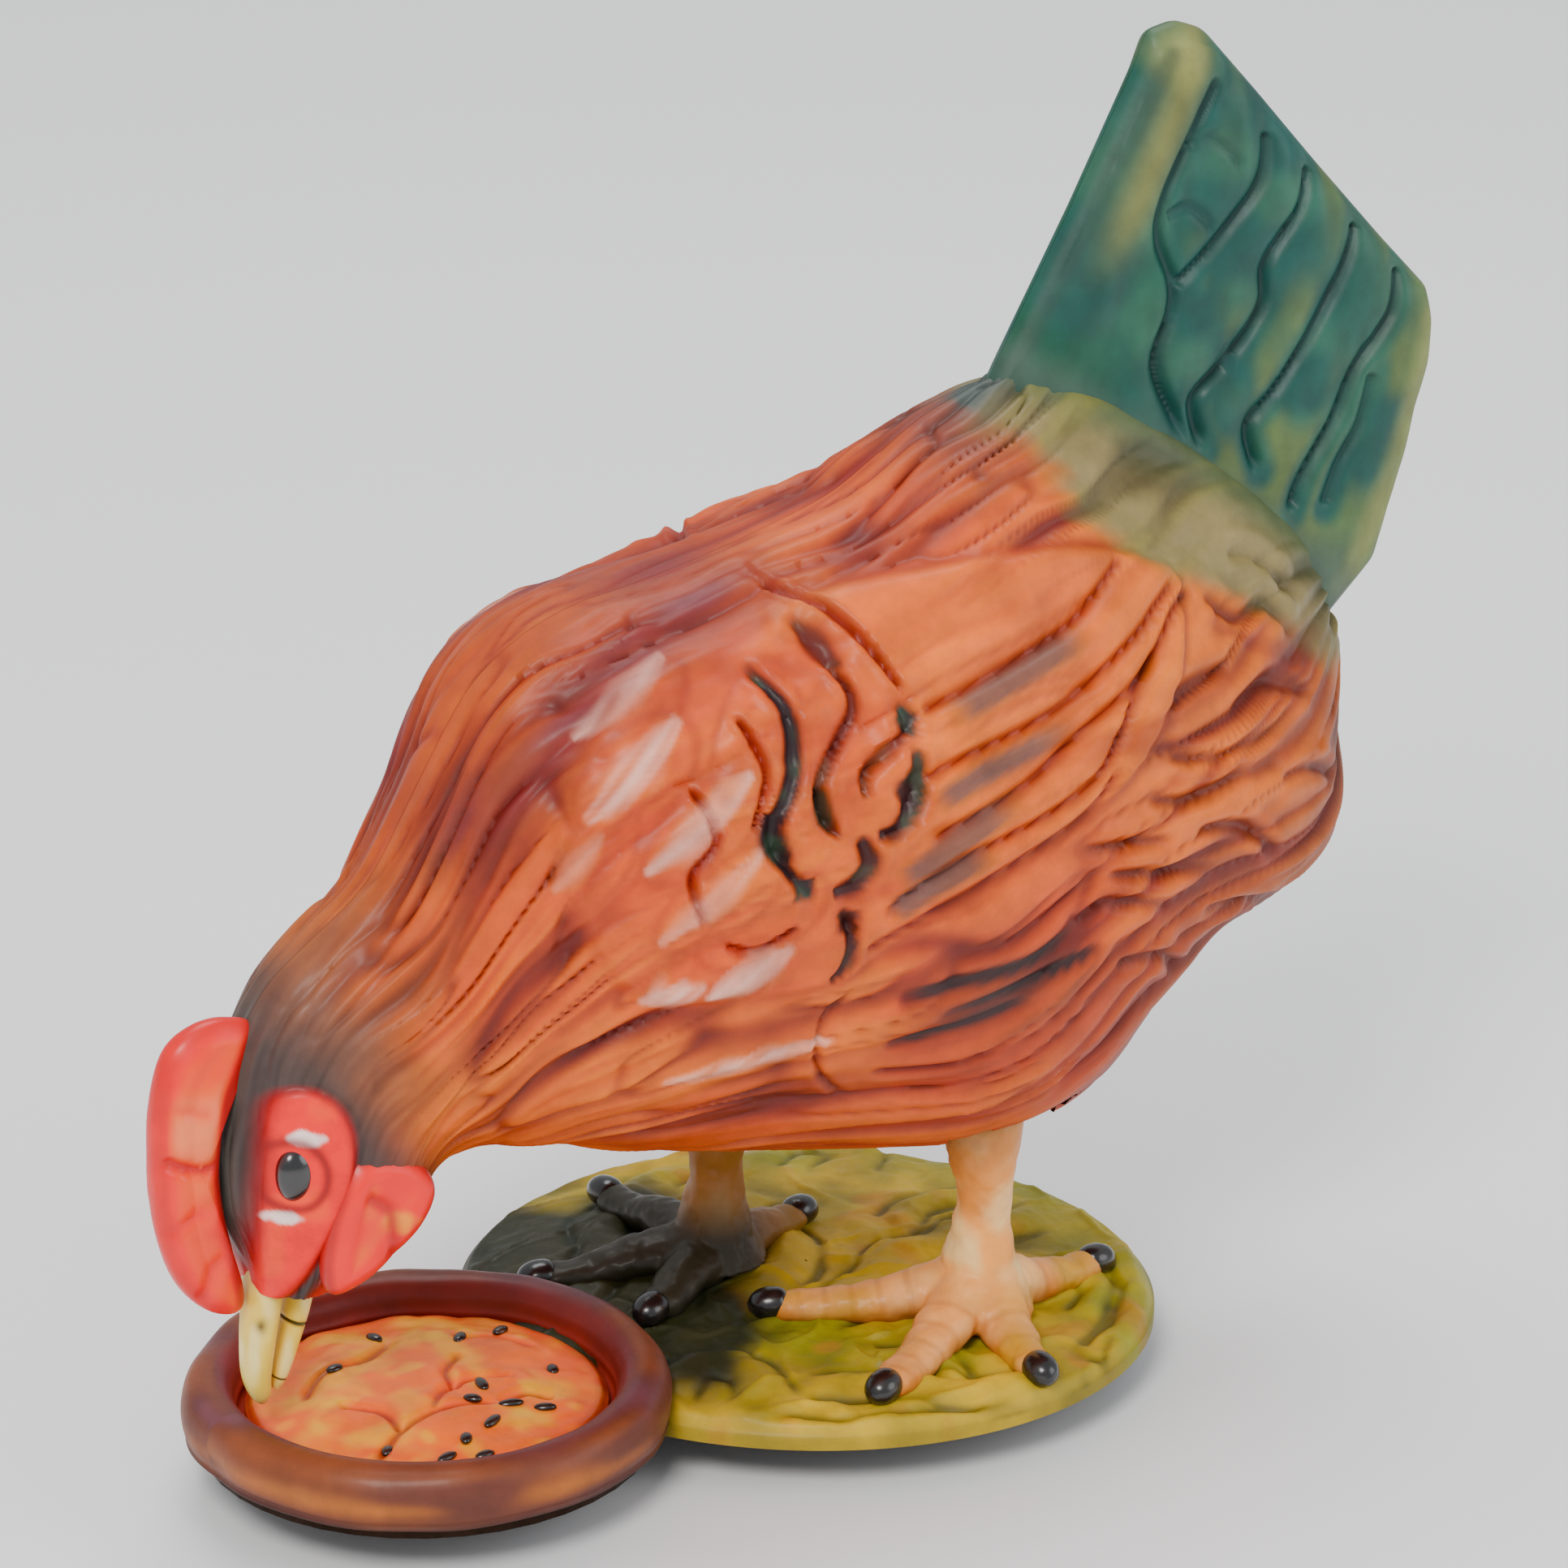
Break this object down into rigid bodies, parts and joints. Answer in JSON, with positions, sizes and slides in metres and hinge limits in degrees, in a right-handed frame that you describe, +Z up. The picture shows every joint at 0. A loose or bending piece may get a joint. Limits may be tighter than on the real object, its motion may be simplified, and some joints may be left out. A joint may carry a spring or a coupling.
{
  "type": "wind-up pecking hen toy",
  "caption": "Wind-up tin hen pecking at a feed bowl, rocking on fixed legs on a round base, with spring motor and winding key.",
  "frame": {"origin": "on the ground in the middle of the base plate's underside, below the bird's middle plane", "axes": "+Z up, the hen faces -X, its left side is -Y; the hip axle runs along Y"},
  "size_m": [0.1739, 0.0848, 0.1566],
  "materials": {
    "plumage_paint": "hand painted terracotta with dark shading, satin",
    "tail_paint": "hand painted dark green, satin",
    "comb_paint": "red with pink, gloss",
    "beak_paint": "cream yellow, satin",
    "eye_gloss": "black, high gloss",
    "moss_paint": "mottled moss green, satin",
    "leg_paint": "flesh tan with black claws, satin",
    "bowl_paint": "dark purple-brown, satin",
    "feed_paint": "orange with black seeds, satin",
    "tin_steel": "bright tinned steel",
    "spring_steel": "blued spring steel",
    "brass": "stamped brass"
  },
  "bodies": {
    "base": {"base_shell": "moss_paint", "bottom_plate": "tin_steel", "bowl": "bowl_paint", "feed": "feed_paint", "bowl_rivet": "tin_steel", "leg_left": "leg_paint", "leg_right": "leg_paint", "leg_screw_left": "tin_steel", "leg_screw_right": "tin_steel", "hip_axle": "tin_steel", "hip_collar_left": "tin_steel", "hip_collar_right": "tin_steel", "drive_lever": "tin_steel"},
    "hen": {"body_shell_left": "plumage_paint", "body_shell_right": "plumage_paint", "tail_shell_left": "tail_paint", "tail_shell_right": "tail_paint", "comb": "comb_paint", "wattle_left": "comb_paint", "wattle_right": "comb_paint", "eye_left": "eye_gloss", "eye_right": "eye_gloss", "upper_beak": "beak_paint", "lower_beak": "beak_paint", "frame_plate_left": "tin_steel", "frame_plate_right": "tin_steel", "frame_pillar_1": "tin_steel", "frame_pillar_2": "tin_steel", "frame_pillar_3": "tin_steel", "frame_pillar_4": "tin_steel", "frame_bracket_upper": "tin_steel", "frame_bracket_lower": "tin_steel", "hip_bush_left": "brass", "hip_bush_right": "brass", "mainspring": "spring_steel"},
    "great_wheel": {"great_wheel": "brass", "click": "spring_steel"},
    "key": {"key_arbor": "tin_steel", "ratchet_wheel": "tin_steel", "winding_key": "brass"},
    "crank": {"crank_arbor": "tin_steel", "crank_pinion": "tin_steel", "crank_wheel": "brass", "crank_disc": "tin_steel"},
    "fly": {"fly_arbor": "tin_steel", "fly_pinion": "tin_steel", "fly": "brass"}
  },
  "joints": [
    {"name": "peck", "type": "hinge", "parent": "base", "child": "hen", "pos_m": [0.0022, 0, 0.052], "axis": [0, 1, 0], "range_deg": [0, 12]},
    {"name": "crank_turn", "type": "hinge", "parent": "hen", "child": "crank", "pos_m": [0.01811, 0, 0.052], "axis": [0, 1, 0], "range_deg": [-180, 0]},
    {"name": "great_turn", "type": "hinge", "parent": "hen", "child": "great_wheel", "pos_m": [0.01196, 0, 0.06891], "axis": [0, 1, 0], "range_deg": [0, 36]},
    {"name": "fly_turn", "type": "hinge", "parent": "hen", "child": "fly", "pos_m": [0.03042, 0, 0.05417], "axis": [0, 1, 0], "range_deg": [0, 720]},
    {"name": "wind", "type": "hinge", "parent": "great_wheel", "child": "key", "pos_m": [0.01196, 0, 0.06891], "axis": [0, 1, 0], "continuous": true}
  ],
  "couplings": [
    {"joint": "crank_turn", "follows": "peck", "ratio": -15},
    {"joint": "great_turn", "follows": "peck", "ratio": 3},
    {"joint": "fly_turn", "follows": "peck", "ratio": 60}
  ]
}
